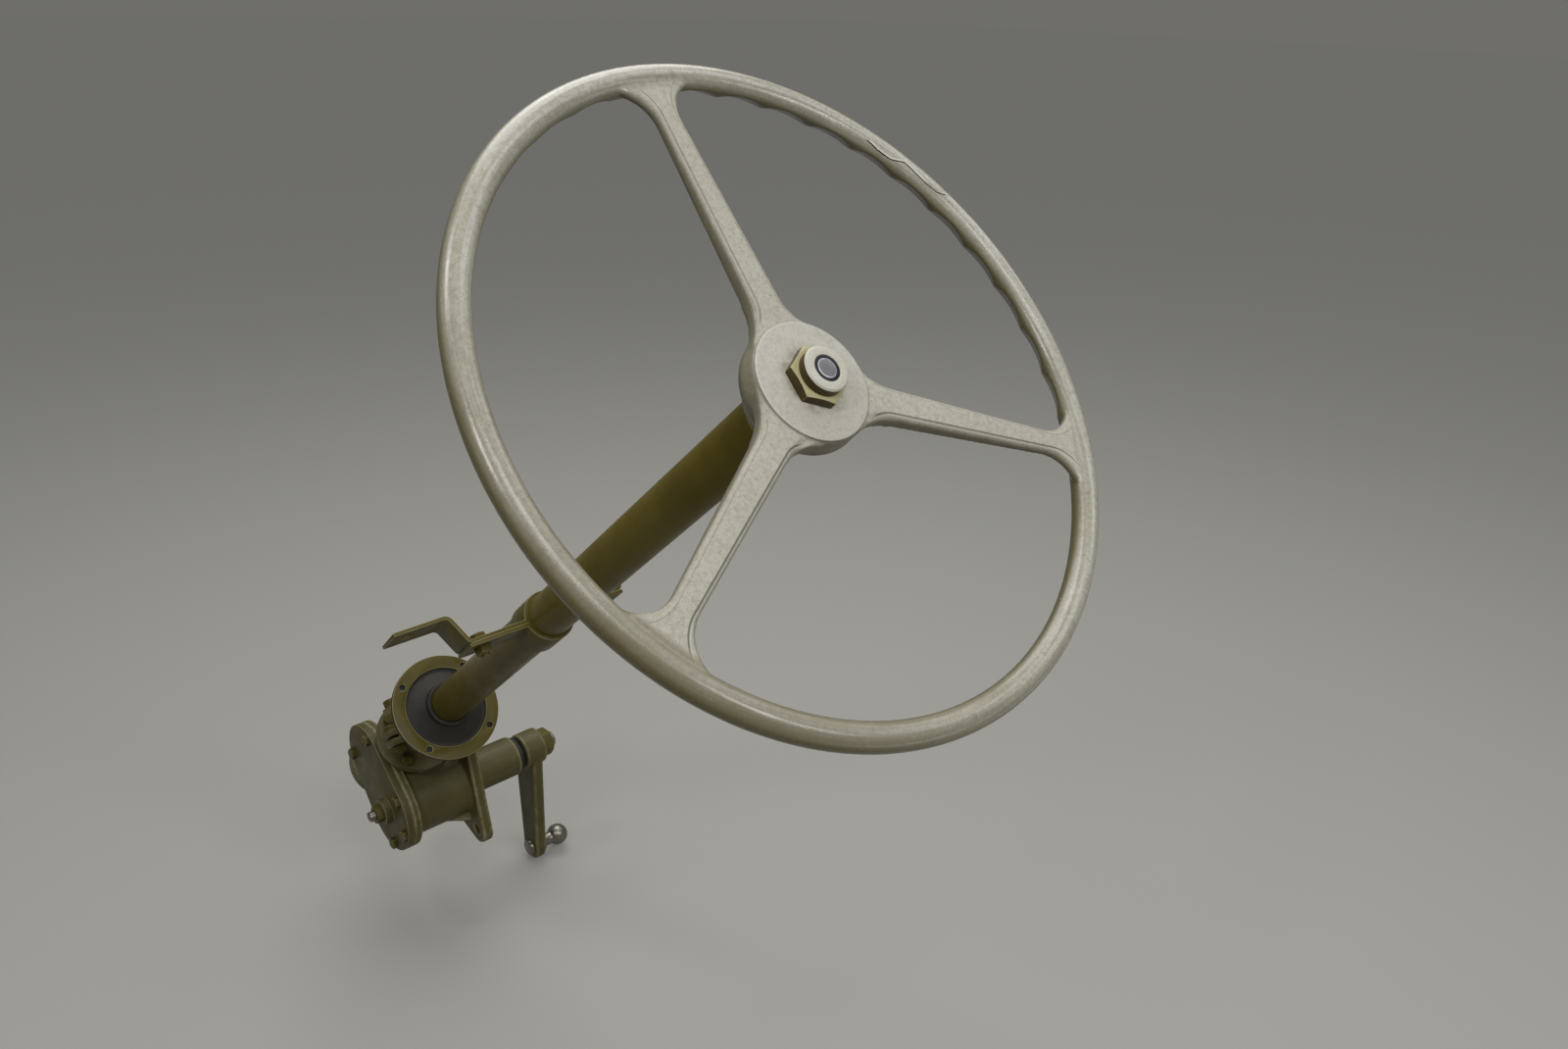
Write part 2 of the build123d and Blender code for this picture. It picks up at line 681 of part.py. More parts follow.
# Upper cover: the split socket that holds the jacket's foot, pinched by a bolt through ears
upper_end = column.offset(barrel_half_length)
socket_radius = socket_diameter / 2
ear_base = upper_end.offset(socket_length - ear_length)
ear_half = socket_slot / 2 + ear_thickness
ear_outer = socket_radius + ear_reach
ear_spot = (-socket_radius - ear_reach / 2, 0, ear_length / 2)
with BuildPart() as upper_cover:
    with BuildSketch(radial(upper_end)):
        Polygon(
            (shaft_radius + shaft_clearance, 0), (end_radius, 0), (end_radius, cover_thickness),
            (socket_radius + socket_shoulder, cover_thickness),
            (socket_radius, cover_thickness + socket_shoulder), (socket_radius, socket_length),
            (strap_inner, socket_length), (strap_inner, socket_floor),
            (shaft_radius + shaft_clearance, socket_floor), align=None,
        )
    revolve(axis=column_axis)
    with BuildSketch(ear_base):
        with Locations((-ear_outer / 2, 0)):
            Rectangle(ear_outer, 2 * ear_half)
        Circle(strap_inner, mode=Mode.SUBTRACT)
    extrude(amount=ear_length)
    with BuildSketch(ear_base):
        with Locations((-ear_outer / 2, 0)):
            Rectangle(ear_outer, socket_slot)
    extrude(amount=ear_length, mode=Mode.SUBTRACT)
    ear_face = Plane(
        origin=ear_base.from_local_coords(ear_spot) + up_wheel * ear_half, x_dir=(1, 0, 0), z_dir=up_wheel,
    )
    with BuildSketch(ear_face):
        Circle(bolt_hole)
    extrude(amount=-2 * ear_half, mode=Mode.SUBTRACT)
    with BuildSketch(upper_end):
        with Locations(*end_places):
            Circle(cover_bolt_hole)
    extrude(amount=cover_thickness, mode=Mode.SUBTRACT)
upper_cover.part.label = "upper_cover"
export_step(upper_cover.part, "parts/upper_cover.step")

upper_cover_bolts = bolts(
    "upper_cover_bolts", upper_end.offset(cover_thickness), end_places, cover_bolt_flats,
    cover_bolt_diameter, cover_head_height, cover_thickness + cover_bolt_depth,
)
export_step(upper_cover_bolts, "parts/upper_cover_bolts.step")

with BuildPart() as socket_bolt:
    add(bolts(
        "bolt", ear_face, [(0, 0)], clamp_bolt_flats, clamp_bolt_diameter, clamp_head_height,
        2 * ear_half + clamp_nut_height + bolt_stand_out,
    ))
    add(hexagon(
        "nut", Plane(origin=ear_face.offset(-2 * ear_half).origin, x_dir=(1, 0, 0), z_dir=-up_wheel),
        clamp_bolt_flats, clamp_nut_height,
    ))
socket_bolt.part.label = "socket_bolt"
export_step(socket_bolt.part, "parts/socket_bolt.step")

# End cover: closes the barrel's lower end
lower_end = Plane(
    origin=column.offset(-barrel_half_length).origin, x_dir=(1, 0, 0), z_dir=-up_column,
)
end_plug_radius = end_plug_diameter / 2
with BuildPart() as end_cover:
    with BuildSketch(radial(lower_end)):
        Polygon(
            (0, 0), (end_radius, 0), (end_radius, cover_thickness - cover_edge),
            (end_radius - cover_edge, cover_thickness), (end_plug_radius, cover_thickness),
            (end_plug_radius - cover_edge, cover_thickness + end_plug_height),
            (0, cover_thickness + end_plug_height), align=None,
        )
    revolve(axis=column_axis)
    with BuildSketch(lower_end):
        with Locations(*end_places):
            Circle(cover_bolt_hole)
    extrude(amount=cover_thickness, mode=Mode.SUBTRACT)
end_cover.part.label = "end_cover"
export_step(end_cover.part, "parts/end_cover.step")

end_cover_bolts = bolts(
    "end_cover_bolts", lower_end.offset(cover_thickness), end_places, cover_bolt_flats,
    cover_bolt_diameter, cover_head_height, cover_thickness + cover_bolt_depth,
)
export_step(end_cover_bolts, "parts/end_cover_bolts.step")

# Filler plug on the barrel's boss
filler_face = filler_boss_base.offset(barrel_diameter / 2 + filler_boss_height)
with BuildPart() as filler_plug:
    with BuildSketch(filler_face):
        Circle(filler_collar_diameter / 2)
    extrude(amount=filler_collar_height)
    add(hexagon("hexagon", filler_face.offset(filler_collar_height), filler_flats, filler_height))
filler_plug.part.label = "filler_plug"
export_step(filler_plug.part, "parts/filler_plug.step")

# Lever shaft through the trunnion, with its seal ring, arm, nut and ball
lever_radius = lever_shaft_diameter / 2
arm_start = trunnion_length + seal_ring_thickness + arm_gap
arm_stop = arm_start + arm_hub_length
shaft_stop = arm_stop + arm_nut_height + thread_stand_out
lever_shaft = turned("lever_shaft", Plane.YZ, [
    (0, -lever_shaft_end), (lever_radius, -lever_shaft_end), (lever_radius, arm_start),
    (lever_radius - lever_shaft_taper, arm_stop), (lever_thread_diameter / 2, arm_stop),
    (lever_thread_diameter / 2, shaft_stop - 1), (lever_thread_diameter / 2 - 1, shaft_stop),
    (0, shaft_stop),
])
export_step(lever_shaft, "parts/lever_shaft.step")

shaft_seal = turned("shaft_seal", Plane.YZ, [
    (lever_radius + running_gap, trunnion_length), (seal_ring_diameter / 2, trunnion_length),
    (seal_ring_diameter / 2, trunnion_length + seal_ring_thickness),
    (lever_radius + running_gap, trunnion_length + seal_ring_thickness),
])
export_step(shaft_seal, "parts/shaft_seal.step")

arm_middle = (arm_start + arm_stop) / 2
with BuildPart() as pitman_arm:
    with BuildSketch(Plane.YZ.offset(arm_middle - arm_thickness / 2)):
        Circle(arm_hub_diameter / 2)
        with Locations((0, -arm_length)):
            Circle(arm_end_diameter / 2)
        make_hull()
    extrude(amount=arm_thickness)
    fillet(pitman_arm.edges().group_by(Axis.X)[0] + pitman_arm.edges().group_by(Axis.X)[-1], arm_edge_radius)
    with BuildSketch(Plane.YZ.offset(arm_start)):
        Circle(arm_hub_diameter / 2)
    extrude(amount=arm_hub_length)
    with BuildSketch(radial(Plane.YZ)):
        Polygon(
            (0, arm_start - 1), (lever_radius + seat_gap, arm_start - 1), (lever_radius + seat_gap, arm_start),
            (lever_radius - lever_shaft_taper + seat_gap, arm_stop),
            (lever_radius - lever_shaft_taper + seat_gap, arm_stop + 1), (0, arm_stop + 1), align=None,
        )
    revolve(axis=Axis.X, mode=Mode.SUBTRACT)
    with BuildSketch(Plane.YZ.offset(arm_start)):
        with Locations((0, -arm_length)):
            Circle(ball_shank_diameter / 2 + seat_gap)
    extrude(amount=arm_hub_length, mode=Mode.SUBTRACT)
pitman_arm.part.label = "pitman_arm"
export_step(pitman_arm.part, "parts/pitman_arm.step")

pitman_nut = hexagon(
    "pitman_nut", Plane.YZ.offset(arm_stop), arm_nut_flats, arm_nut_height, arm_nut_edge,
    lever_thread_diameter + 2 * seat_gap,
)
export_step(pitman_nut, "parts/pitman_nut.step")

# Ball stud riveted through the arm's end, the ball on the inboard side
ball_base = Plane(
    origin=(arm_middle + arm_thickness / 2, 0, -arm_length), x_dir=(0, 1, 0), z_dir=(1, 0, 0),
)
ball_radius = ball_diameter / 2
neck_radius = ball_neck_diameter / 2
ball_centre = ball_neck_length + sqrt(ball_radius ** 2 - neck_radius ** 2)
ball_start = degrees(acos(neck_radius / ball_radius))
with BuildPart() as ball_stud:
    with BuildSketch(radial(ball_base)):
        with BuildLine():
            Polyline(
                (0, ball_centre + ball_radius), (0, -arm_thickness - rivet_head_height),
                (rivet_head_diameter / 2 - 1, -arm_thickness - rivet_head_height),
                (rivet_head_diameter / 2, -arm_thickness),
                (ball_shank_diameter / 2, -arm_thickness), (ball_shank_diameter / 2, 0),
                (rivet_head_diameter / 2, 0), (rivet_head_diameter / 2, rivet_head_height),
                (neck_radius, rivet_head_height + 1), (neck_radius, ball_neck_length),
            )
            CenterArc((0, ball_centre), ball_radius, -ball_start, 90 + ball_start)
        make_face()
    revolve(axis=Axis(ball_base.origin, ball_base.z_dir))
ball_stud.part.label = "ball_stud"
export_step(ball_stud.part, "parts/ball_stud.step")
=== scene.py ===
import json
import math

import bpy
import numpy as np
from mathutils import Matrix, Vector


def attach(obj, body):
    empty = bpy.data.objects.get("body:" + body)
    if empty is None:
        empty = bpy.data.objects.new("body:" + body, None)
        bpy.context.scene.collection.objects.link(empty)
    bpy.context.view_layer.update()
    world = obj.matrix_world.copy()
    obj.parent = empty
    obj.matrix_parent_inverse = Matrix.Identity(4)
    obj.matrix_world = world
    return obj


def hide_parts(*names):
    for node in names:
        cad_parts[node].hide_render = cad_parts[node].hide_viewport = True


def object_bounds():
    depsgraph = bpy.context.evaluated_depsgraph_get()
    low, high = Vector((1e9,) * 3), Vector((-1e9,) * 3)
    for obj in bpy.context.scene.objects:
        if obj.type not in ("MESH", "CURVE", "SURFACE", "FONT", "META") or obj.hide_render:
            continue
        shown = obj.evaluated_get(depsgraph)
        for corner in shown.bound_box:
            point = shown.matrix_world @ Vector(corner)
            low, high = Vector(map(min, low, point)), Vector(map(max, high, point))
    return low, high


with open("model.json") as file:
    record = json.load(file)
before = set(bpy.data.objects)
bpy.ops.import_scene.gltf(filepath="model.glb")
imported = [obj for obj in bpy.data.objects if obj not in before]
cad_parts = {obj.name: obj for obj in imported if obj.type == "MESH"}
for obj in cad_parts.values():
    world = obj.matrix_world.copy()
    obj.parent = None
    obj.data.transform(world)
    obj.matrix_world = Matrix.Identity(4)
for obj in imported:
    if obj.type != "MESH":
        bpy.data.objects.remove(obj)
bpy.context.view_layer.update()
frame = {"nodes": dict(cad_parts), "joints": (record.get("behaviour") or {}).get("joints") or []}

# Steering wheel, column and steering box of a small open four-wheel-drive car.
# Metres, in the row frame: +X to the car's right, +Y forward, +Z up.

joints = {joint["name"]: joint for joint in frame["joints"]}

# The wheel's own axes: right, up the wheel, and up the column towards the driver
RIGHT = Vector((1, 0, 0))
UP_COLUMN = Vector(joints["wheel_turn"]["axis"]).normalized()
UP_WHEEL = UP_COLUMN.cross(RIGHT)
WHEEL_CENTRE = Vector(joints["wheel_turn"]["pos_m"])
MM = 0.001

# The photograph's frame and the view solved from the rim's outline
PHOTO_WIDTH = 1600
FOCAL_PIXELS = 1241.4
SENSOR_WIDTH = 36.0
EYE_FROM_WHEEL = Vector((-478.55, -480.15, 208.69)) * MM
VIEW_AHEAD = Vector((0.63134, 0.66134, -0.40502))
VIEW_RIGHT = Vector((0.73050, -0.68249, 0.02427))

# Rim, disc, hub and spokes, with the solid's sizes. A turn is counted in degrees from the right.
TUBE_RADIUS = 8.65 * MM
RIM_RADIUS = 219.0 * MM - TUBE_RADIUS
DISC_RADIUS = 39.0 * MM
DISC_TOP = 0.8 * MM
HUB_RADIUS = 41.0 * MM
SPOKE_STEP = 120.0
SPOKE_TURNS = tuple(93.0 + SPOKE_STEP * number for number in range(3))
SPOKE_START = DISC_RADIUS - 0.5 * MM
SPOKE_END = RIM_RADIUS - 5.5 * MM
HALF_AT_HUB = 11.5 * MM
HALF_AT_RIM = 7.75 * MM
HUB_FLARE = 20.0 * MM
RIM_FLARE = 25.0 * MM

# The crisp disc, its bore a little wider than the shaft, and the spokes' longer flares at the hub
DISC_THICKNESS = 3.4 * MM
DISC_EDGE = 1.3 * MM
SHAFT_HOLE = 11.3 * MM
BLEND_RADIUS = 34.0 * MM
BLEND_TOP = -2.2 * MM
BLEND_BOTTOM = -12.0 * MM

# Finger hollows: middle, pitch and count from the ridges on the rim's right stretch, depth given,
# lean as in the solid. The left stretch, whose hollows don't show, is laid a third of a turn on.
GRIP_MIDDLES = (34.2, 34.2 + SPOKE_STEP)
GRIP_COUNT = 11
GRIP_PITCH = 9.7
GRIP_DEPTH = 2.5 * MM
GRIP_LEAN = math.radians(40)
GRIP_ROUNDNESS = 2.2

# Mesh of the wheel: its spacing, the rounds that soften it, and how far it yields from one
# distance off the axis to another. Hub and spokes yield most, the rim least.
WHEEL_VOXEL = 1.35 * MM
WHEEL_ROUNDS = 8
YIELDING = ((0, 196 * MM, 1.0), (196 * MM, 200 * MM, 0.6), (200 * MM, 1, 0.3))

# Thin lines on the spokes' tops, painted shade in sunk grooves with a painted highlight on the bead beside:
# their distance inside the edges, where they turn off towards hub and rim, and their strength on the two
# sides of each spoke
LINE_INSET = 3.3 * MM
HUB_LINE_TURN = 57.0 * MM
RIM_LINE_TURN = 180.0 * MM
LINE_STRENGTHS = ((0.4, 0.7), (0.35, 1.0), (1.0, 0.3))

# The crack in the rim: turn round the wheel and place round the rim's section, in degrees
CRACK = (
    (29.0, 92), (29.8, 109), (30.8, 119), (33.2, 122), (36.3, 116), (38.9, 109), (40.3, 126), (41.6, 139),
    (43.2, 139), (44.7, 137), (46.2, 130), (47.4, 127),
)


# Objects and modifiers

def axes_at(origin, x_axis, y_axis, z_axis):
    """Matrix that puts a piece at origin, its own axes along the three given ones."""
    return Matrix.Translation(origin) @ Matrix((x_axis, y_axis, z_axis)).transposed().to_4x4()


WHEEL = axes_at(WHEEL_CENTRE, RIGHT, UP_WHEEL, UP_COLUMN)


def only(obj):
    """Selects one object alone and makes it the active one."""
    bpy.ops.object.select_all(action="DESELECT")
    obj.select_set(True)
    bpy.context.view_layer.objects.active = obj


def settle(obj, matrix):
    """Moves a new object to its place and puts that place into its mesh."""
    obj.matrix_world = matrix @ obj.matrix_world
    only(obj)
    bpy.ops.object.transform_apply(location=True, rotation=True, scale=True)


def apply(obj, kind, **settings):
    """Adds one modifier and applies it."""
    only(obj)
    modifier = obj.modifiers.new(kind.title(), kind)
    for key, value in settings.items():
        setattr(modifier, key, value)
    bpy.ops.object.modifier_apply(modifier=modifier.name)


def cut_round(obj, radius, depth, matrix, sides):
    """Cuts a round hollow into an object with a cylinder, which is taken away again."""
    bpy.ops.mesh.primitive_cylinder_add(vertices=sides, radius=radius, depth=depth)
    cutter = bpy.context.active_object
    settle(cutter, matrix)
    apply(obj, "BOOLEAN", operation="DIFFERENCE", solver="EXACT", object=cutter)
    bpy.data.objects.remove(cutter)


def node_copy(node, name):
    """Copy of a CAD node as a new piece, its loose triangles merged into one skin."""
    source = frame["nodes"][node]
    piece = bpy.data.objects.new(name, source.data.copy())
    bpy.context.scene.collection.objects.link(piece)
    piece.data.materials.clear()
    only(piece)
    bpy.ops.object.mode_set(mode="EDIT")
    bpy.ops.mesh.select_all(action="SELECT")
    bpy.ops.mesh.remove_doubles(threshold=1e-6)
    bpy.ops.mesh.customdata_custom_splitnormals_clear()
    bpy.ops.object.mode_set(mode="OBJECT")
    return piece


def smooth(obj, angle):
    """Shades an object smooth, with sharp edges where its faces turn by more than the angle."""
    only(obj)
    bpy.ops.object.shade_smooth_by_angle(angle=math.radians(angle))


def float_attribute(obj, name, values):
    """Stores one number a vertex, which materials read by its name."""
    layer = obj.data.attributes.new(name, "FLOAT", "POINT")
    layer.data.foreach_set("value", np.asarray(values, np.float32))


def vertex_values(obj, kind):
    """One row of three numbers a vertex: its place for "co", its direction for "normal"."""
    values = np.empty(len(obj.data.vertices) * 3)
    obj.data.vertices.foreach_get(kind, values)
    return values.reshape(-1, 3)


def in_wheel_axes(places):
    """Row-frame places as right, up the wheel, and height over the rim's middle."""
    local = places - np.array(WHEEL_CENTRE)
    return np.stack([local @ np.array(axis) for axis in (RIGHT, UP_WHEEL, UP_COLUMN)], axis=1)


def edge_attribute(obj):
    """Stores how far each vertex stands out over its neighbours, for wear on outer edges."""
    places = vertex_values(obj, "co")
    ends = np.empty(len(obj.data.edges) * 2, np.int32)
    obj.data.edges.foreach_get("vertices", ends)
    ends = ends.reshape(-1, 2)
    around = np.zeros_like(places)
    count = np.zeros(len(places))
    for here, there in ((0, 1), (1, 0)):
        np.add.at(around, ends[:, here], places[ends[:, there]])
        np.add.at(count, ends[:, here], 1)
    inwards = around / np.maximum(count, 1)[:, None] - places
    standing = -np.einsum("ij,ij->i", inwards, vertex_values(obj, "normal"))
    float_attribute(obj, "edge", standing / MM)


# Materials

class Finish:
    """One procedural material on Object coordinates."""

    def __init__(self, name):
        self.material = bpy.data.materials.new(name)
        self.material.use_nodes = True
        self.nodes = self.material.node_tree.nodes
        self.links = self.material.node_tree.links
        self.shader = self.nodes["Principled BSDF"]
        self.coords = self.nodes.new("ShaderNodeTexCoord").outputs["Object"]

    def noise(self, scale, detail=4.0, roughness=0.55, distortion=0.0, where=None):
        """Noise from 0 to 1, at the object's own places unless others are given."""
        node = self.nodes.new("ShaderNodeTexNoise")
        node.inputs["Scale"].default_value = scale
        node.inputs["Detail"].default_value = detail
        node.inputs["Roughness"].default_value = roughness
        node.inputs["Distortion"].default_value = distortion
        self.links.new(self.coords if where is None else where, node.inputs["Vector"])
        return node.outputs["Fac"]

    def ramp(self, value, low, high, start=0.0, end=1.0):
        """Maps value from low..high onto start..end, held at both ends."""
        node = self.nodes.new("ShaderNodeMapRange")
        node.inputs["From Min"].default_value = low
        node.inputs["From Max"].default_value = high
        node.inputs["To Min"].default_value = start
        node.inputs["To Max"].default_value = end
        self.links.new(value, node.inputs["Value"])
        return node.outputs["Result"]

    def math(self, operation, first, second=0):
        """One sum on numbers or other nodes' outputs."""
        node = self.nodes.new("ShaderNodeMath")
        node.operation = operation
        for socket, value in zip(node.inputs, (first, second)):
            if isinstance(value, (int, float)):
                socket.default_value = value
            else:
                self.links.new(value, socket)
        return node.outputs[0]

    def times(self, *factors):
        """Product of numbers and other nodes' outputs."""
        product = factors[0]
        for factor in factors[1:]:
            product = self.math("MULTIPLY", product, factor)
        return product

    def level(self, value, middle, width, soft):
        """1 where value lies within width of middle, falling to 0 over soft."""
        away = self.math("ABSOLUTE", self.math("SUBTRACT", value, middle))
        return self.ramp(away, width, width + soft, 1.0, 0.0)

    def mix(self, factor, first, second):
        """Blend of two colours, each a tuple or another node's output."""
        node = self.nodes.new("ShaderNodeMix")
        node.data_type = "RGBA"
        self.links.new(factor, node.inputs[0])
        for socket, colour in ((node.inputs[6], first), (node.inputs[7], second)):
            if isinstance(colour, tuple):
                socket.default_value = (*colour, 1)
            else:
                self.links.new(colour, socket)
        return node.outputs[2]

    def over(self, body, colour, *factors):
        """A colour laid over the body colour, as strongly as the factors multiply to."""
        return self.mix(self.times(*factors), body, colour)

    def along(self, axis, origin):
        """Place along an axis from an origin, in metres."""
        shift = self.nodes.new("ShaderNodeVectorMath")
        shift.operation = "SUBTRACT"
        self.links.new(self.coords, shift.inputs[0])
        shift.inputs[1].default_value = origin
        dot = self.nodes.new("ShaderNodeVectorMath")
        dot.operation = "DOT_PRODUCT"
        self.links.new(shift.outputs[0], dot.inputs[0])
        dot.inputs[1].default_value = axis
        return dot.outputs["Value"]

    def curve(self, value, points):
        """Piecewise straight curve through points from (0, ..) to (1, ..)."""
        node = self.nodes.new("ShaderNodeFloatCurve")
        line = node.mapping.curves[0]
        while len(line.points) > 2:
            line.points.remove(line.points[1])
        line.points[0].location = points[0]
        line.points[-1].location = points[-1]
        for point in points[1:-1]:
            line.points.new(*point)
        for point in line.points:
            point.handle_type = "VECTOR"
        node.mapping.update()
        self.links.new(value, node.inputs["Value"])
        return node.outputs[0]

    def attribute(self, name):
        """Number that the mesh carries under a name."""
        node = self.nodes.new("ShaderNodeAttribute")
        node.attribute_name = name
        return node.outputs["Fac"]

    def bump(self, height, distance, strength=1.0, under=None):
        """Relief from a height, on top of another bump where one is given."""
        node = self.nodes.new("ShaderNodeBump")
        node.inputs["Strength"].default_value = strength
        node.inputs["Distance"].default_value = distance
        self.links.new(height, node.inputs["Height"])
        if under is not None:
            self.links.new(under, node.inputs["Normal"])
        self.links.new(node.outputs["Normal"], self.shader.inputs["Normal"])
        return node.outputs["Normal"]

    def colour(self, output):
        """Gives the surface its colour."""
        self.links.new(output, self.shader.inputs["Base Color"])

    def roughness(self, output):
        """Gives the surface its roughness."""
        self.links.new(output, self.shader.inputs["Roughness"])


def rgb(red, green, blue):
    """Linear colour from the 0 to 255 values that a picture shows."""
    def linear(value):
        value /= 255
        return value / 12.92 if value <= 0.04045 else ((value + 0.055) / 1.055) ** 2.4
    return (linear(red), linear(green), linear(blue))


def painted(name, base, light, dark, rough=0.5, fine=900.0, metallic=0.0, worn=None, shine=0.3):
    """Old paint: large faded patches, fine specks of dirt and a slightly uneven gloss."""
    finish = Finish(name)
    patches = finish.ramp(finish.noise(14, 5, 0.6), 0.35, 0.65)
    body = finish.mix(patches, base, light)
    if worn is not None:
        rubbed = finish.ramp(finish.attribute("edge"), 0.02, 0.09)
        uneven = finish.ramp(finish.noise(120, 4, 0.6), 0.35, 0.6, 0.3, 0.9)
        body = finish.over(body, worn, rubbed, uneven)
    specks = finish.ramp(finish.noise(fine, 3, 0.6), 0.55, 0.75)
    finish.colour(finish.over(body, dark, specks, 0.45))
    finish.roughness(finish.ramp(finish.noise(60, 4), 0.3, 0.7, rough - 0.08, rough + 0.1))
    finish.shader.inputs["Metallic"].default_value = metallic
    finish.shader.inputs["Specular IOR Level"].default_value = shine
    finish.bump(finish.noise(fine * 0.6, 4, 0.6), 0.2 * MM, 0.35)
    return finish


# The moulding's finish, layer by layer, some layers painted light and shade

class WheelFinish(Finish):
    """Finish that knows the places on the wheel that its layers follow."""

    def __init__(self, name):
        super().__init__(name)
        self.right = self.along(RIGHT, WHEEL_CENTRE)
        self.up = self.along(UP_WHEEL, WHEEL_CENTRE)
        self.height = self.along(UP_COLUMN, WHEEL_CENTRE)
        squares = self.math("ADD", self.times(self.right, self.right), self.times(self.up, self.up))
        self.radius = self.math("SQRT", squares)
        self.turn = self.math("ARCTAN2", self.up, self.right)
        self.off_rim = self.math("SUBTRACT", self.radius, RIM_RADIUS)
        self.section = self.math("ARCTAN2", self.height, self.off_rim)
        self.on_rim = self.ramp(self.radius, RIM_RADIUS - 1.4 * TUBE_RADIUS, RIM_RADIUS - TUBE_RADIUS)
        self.below = self.attribute("below")
        self.lengthwise = self.lengthwise_noise()

    def lengthwise_noise(self):
        """Noise that is fine across the rim and long round it, as hands wear it."""
        across_scale = 420.0
        round_scale = 14.0
        where = self.nodes.new("ShaderNodeCombineXYZ")
        for socket, across, round_rim in ((0, self.off_rim, self.right), (1, self.height, self.up)):
            mixed = self.math("ADD", self.times(across, across_scale), self.times(round_rim, round_scale))
            self.links.new(mixed, where.inputs[socket])
        return self.noise(1.0, 5.0, 0.5, where=where.outputs[0])


def faded_body(finish):
    """Grey body colour in large faded patches."""
    patches = finish.ramp(finish.noise(26, 6, 0.62), 0.36, 0.66)
    body = finish.mix(patches, rgb(147, 143, 128), rgb(163, 160, 147))
    cloud = finish.ramp(finish.noise(6, 3), 0.35, 0.7)
    return finish.over(body, rgb(140, 135, 120), cloud, 0.4)


def streaks_with_painted_light_and_shade(finish, body):
    """Pale streaks along the rim, painted light on the flat tops, olive-brown painted shade on the sides and
    darker painted shade on the underside, a lighter band along the rim's crest, and browner painted shade on
    the lower left of the rim.
    """
    streaks = finish.ramp(finish.lengthwise, 0.48, 0.66)
    body = finish.over(body, rgb(192, 189, 180), streaks, finish.on_rim, 0.6)
    # Painted shade: olive-brown on the faces that turn away from looking up the column, darker still on the
    # underside
    sides = finish.ramp(finish.below, 0.16, 0.44)
    body = finish.over(body, rgb(90, 82, 42), sides, finish.ramp(finish.on_rim, 0.0, 1.0, 0.55, 0.92))
    under = finish.ramp(finish.below, 0.46, 0.8)
    body = finish.over(body, rgb(54, 46, 20), under, 0.9)
    # Painted light: faces that look straight up the column, inside the rim, are lighter
    lit_flat_top = finish.ramp(finish.below, 0.01, 0.06, 1.0, 0.0)
    inside_rim = finish.ramp(finish.radius, RIM_RADIUS - 12 * MM, RIM_RADIUS - 4 * MM, 1.0, 0.3)
    body = finish.over(body, rgb(184, 181, 169), lit_flat_top, inside_rim, 0.6)
    crest = finish.level(finish.section, math.radians(98), math.radians(5), math.radians(9))
    uneven = finish.ramp(finish.lengthwise, 0.36, 0.6, 0.2, 0.8)
    body = finish.over(body, rgb(192, 190, 182), crest, finish.on_rim, uneven)
    # Painted shade: browner olive on the rim's lower left stretch, on its faces that turn down
    lower_left = finish.math("SUBTRACT", finish.times(finish.up, -1.0), finish.right)
    turned_down = finish.ramp(finish.below, 0.05, 0.3, 0.5, 0.88)
    return finish.over(
        body, rgb(92, 82, 40), finish.ramp(lower_left, 100 * MM, 300 * MM), turned_down, finish.on_rim)


def dirt(finish, body):
    """Mottling, dark specks, pale flecks and brown stains."""
    mottle = finish.ramp(finish.noise(330, 6, 0.8), 0.44, 0.62)
    body = finish.over(body, rgb(112, 106, 84), mottle, 0.38)
    specks = finish.ramp(finish.noise(950, 3, 0.7), 0.56, 0.7)
    body = finish.over(body, rgb(88, 84, 68), specks, 0.5)
    flecks = finish.ramp(finish.noise(600, 4, 0.7, 0.4), 0.6, 0.74)
    body = finish.over(body, rgb(205, 202, 194), flecks, finish.ramp(finish.on_rim, 0.0, 1.0, 0.45, 0.15))
    stains = finish.ramp(finish.noise(75, 5, 0.7, 0.8), 0.6, 0.72)
    return finish.over(body, rgb(120, 108, 78), stains, 0.35)


def hub_marks_with_painted_light_and_shade(finish, body):
    """Painted light on the disc's top, a worn light edge round the disc, grime under the nut, and painted
    shade in a dark ring at the disc's foot.
    """
    # Painted light: the disc's top face is lighter
    disc = finish.ramp(finish.radius, DISC_RADIUS - 0.4 * MM, DISC_RADIUS, 1.0, 0.0)
    on_top = finish.ramp(finish.height, -0.4 * MM, 0.2 * MM)
    body = finish.over(body, rgb(186, 184, 176), disc, on_top, 0.25)
    edge = finish.level(finish.radius, DISC_RADIUS - 0.5 * MM, 0.1 * MM, 0.35 * MM)
    above_foot = finish.ramp(finish.height, -0.8 * MM, -0.2 * MM)
    weaker_above = finish.ramp(finish.up, 12 * MM, 30 * MM, 1.0, 0.15)
    body = finish.over(body, rgb(214, 210, 200), edge, above_foot, weaker_above, 0.5)
    grime = finish.level(finish.radius, 17 * MM, 2.5 * MM, 5 * MM)
    on_disc = finish.ramp(finish.height, -3 * MM, 0.0)
    uneven = finish.ramp(finish.noise(160, 4), 0.4, 0.65)
    body = finish.over(body, rgb(104, 84, 58), grime, on_disc, uneven, 0.5)
    # Painted shade: dark ring at the disc's foot, fainter up the wheel
    foot = finish.level(finish.radius, DISC_RADIUS + 0.4 * MM, 0.2 * MM, 0.8 * MM)
    above_hub = finish.ramp(finish.height, -3.5 * MM, -1.5 * MM)
    fainter_above = finish.ramp(finish.up, 0.0, 20 * MM, 1.0, 0.2)
    return finish.over(body, rgb(96, 90, 72), foot, above_hub, fainter_above, 0.5)


